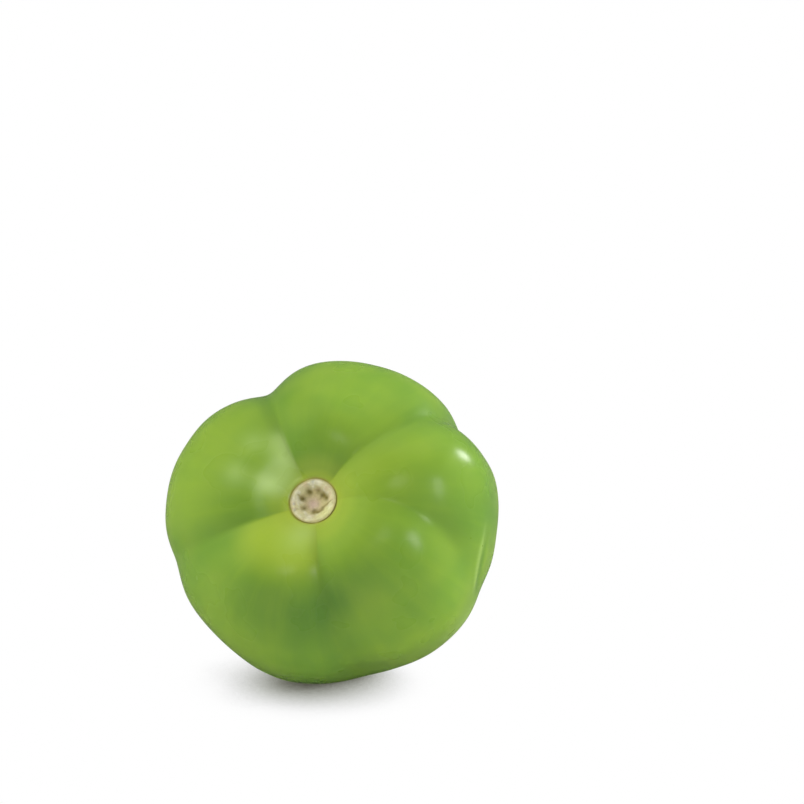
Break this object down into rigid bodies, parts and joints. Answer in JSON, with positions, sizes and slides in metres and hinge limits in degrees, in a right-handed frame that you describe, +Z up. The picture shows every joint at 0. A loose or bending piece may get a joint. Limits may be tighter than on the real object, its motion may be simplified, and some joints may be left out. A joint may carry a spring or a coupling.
{
  "type": "tomatillo",
  "caption": "Whole husked tomatillo: a squat lobed green fruit lying on its side on a small flat spot, its corky stem scar in a shallow hollow facing forward.",
  "frame": {"origin": "centre of the small flat spot on the underside that the fruit rests on", "axes": "-Z is the rest face's outward normal, so +Z is up; the stem end points along -Y, 28.6 degrees above the surface and 13.1 degrees towards -X"},
  "size_m": [0.0552, 0.0489, 0.0535],
  "materials": {
    "skin": "smooth waxy green skin, satin to glossy",
    "scar_cork": "dry pale cork, matte"
  },
  "bodies": {
    "root": {"tomatillo": "skin"}
  },
  "joints": []
}
